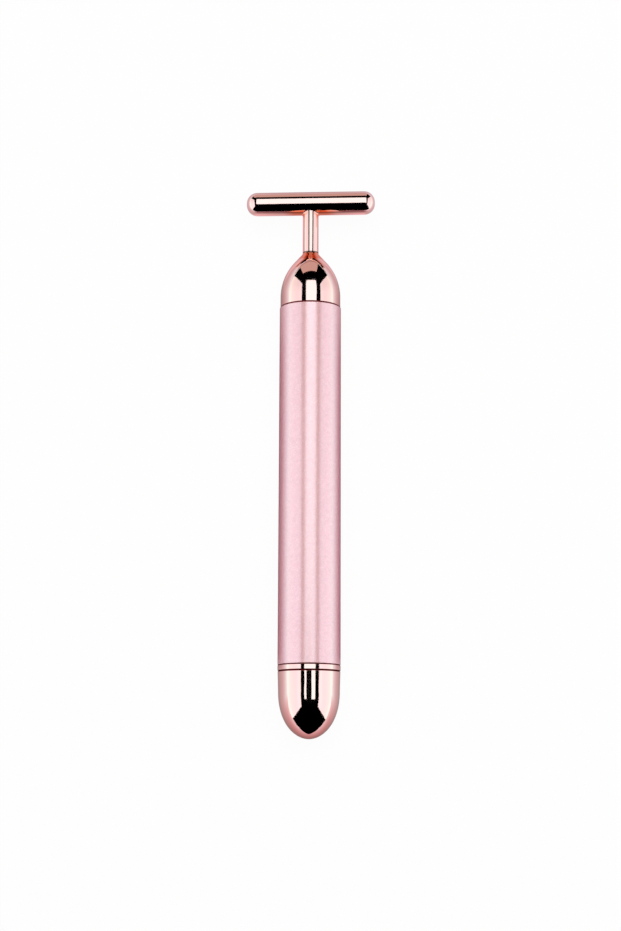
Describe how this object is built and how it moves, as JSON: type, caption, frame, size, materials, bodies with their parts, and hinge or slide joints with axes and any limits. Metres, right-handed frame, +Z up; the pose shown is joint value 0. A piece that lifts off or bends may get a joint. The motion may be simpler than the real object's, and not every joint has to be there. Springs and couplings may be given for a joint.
{
  "type": "vibrating facial massager bar",
  "caption": "T-headed vibrating facial massager bar: slim battery handle, polished crossbar head, and a twisting tail cap that switches it.",
  "frame": {"origin": "centre of the bounding box, at the level of the surface that the bar lies on", "axes": "+Y along the handle towards the massage head, +X along the crossbar, +Z up; the bar lies on its round grip"},
  "size_m": [0.0368, 0.1558, 0.0174],
  "materials": {
    "pink_metal": "satin anodised, fine metallic grain",
    "rose_gold": "mirror polished plating",
    "seal_rubber": "smooth",
    "pale_plastic": "moulded",
    "dark_plastic": "moulded",
    "contact_brass": "stamped, nickel flash worn",
    "red_insulation": "smooth",
    "black_insulation": "smooth",
    "nickel_steel": "nickel plated",
    "bronze": "sintered",
    "ferrite": "matt",
    "spring_steel": "bright",
    "copper": "enamelled wire and bare segments",
    "weight_brass": "turned",
    "cell_mix": "pressed powder",
    "cell_film": "plain shrunk film"
  },
  "bodies": {
    "handle": {"handle_sleeve": "pink_metal", "tail_collar": "rose_gold", "tail_seal": "seal_rubber", "battery_liner": "pale_plastic", "ground_strip": "contact_brass", "contact_carrier": "dark_plastic", "positive_contact": "contact_brass", "positive_lead": "red_insulation", "negative_lead": "black_insulation", "cradle_left": "pale_plastic", "cradle_right": "pale_plastic", "motor_can": "nickel_steel", "motor_end_bell": "dark_plastic", "motor_front_bush": "bronze", "motor_rear_bush": "bronze", "motor_magnets": "ferrite", "motor_brushes": "ferrite", "motor_terminals": "contact_brass", "massage_head": "rose_gold", "head_seal": "seal_rubber"},
    "rotor": {"motor_shaft": "spring_steel", "armature_core": "spring_steel", "armature_windings": "copper", "commutator_segments": "copper", "commutator_core": "dark_plastic", "eccentric_weight": "weight_brass"},
    "battery": {"battery_can": "nickel_steel", "battery_core": "cell_mix", "battery_jacket": "cell_film", "battery_seal": "dark_plastic", "battery_base": "nickel_steel"},
    "spring": {"tail_spring": "spring_steel"},
    "cap": {"cap_shell": "rose_gold", "cap_insert": "pale_plastic", "spring_plate": "contact_brass", "plate_screw": "spring_steel"}
  },
  "joints": [
    {"name": "rotor_spin", "type": "hinge", "parent": "handle", "child": "rotor", "pos_m": [0, 0.0206, 0.0087], "axis": [0, 1, 0], "continuous": true},
    {"name": "battery_withdraw", "type": "slide", "parent": "handle", "child": "battery", "axis": [0, -1, 0], "range_m": [0, 0.055]},
    {"name": "cap_travel", "type": "slide", "parent": "battery", "child": "spring", "axis": [0, -1, 0], "range_m": [0, 0.006]},
    {"name": "cap_turn", "type": "hinge", "parent": "spring", "child": "cap", "pos_m": [0, -0.0661, 0.0087], "axis": [0, -1, 0], "range_deg": [0, 2160]}
  ],
  "couplings": [
    {"joint": "cap_turn", "follows": "cap_travel", "rad_per_m": 6283.2}
  ]
}
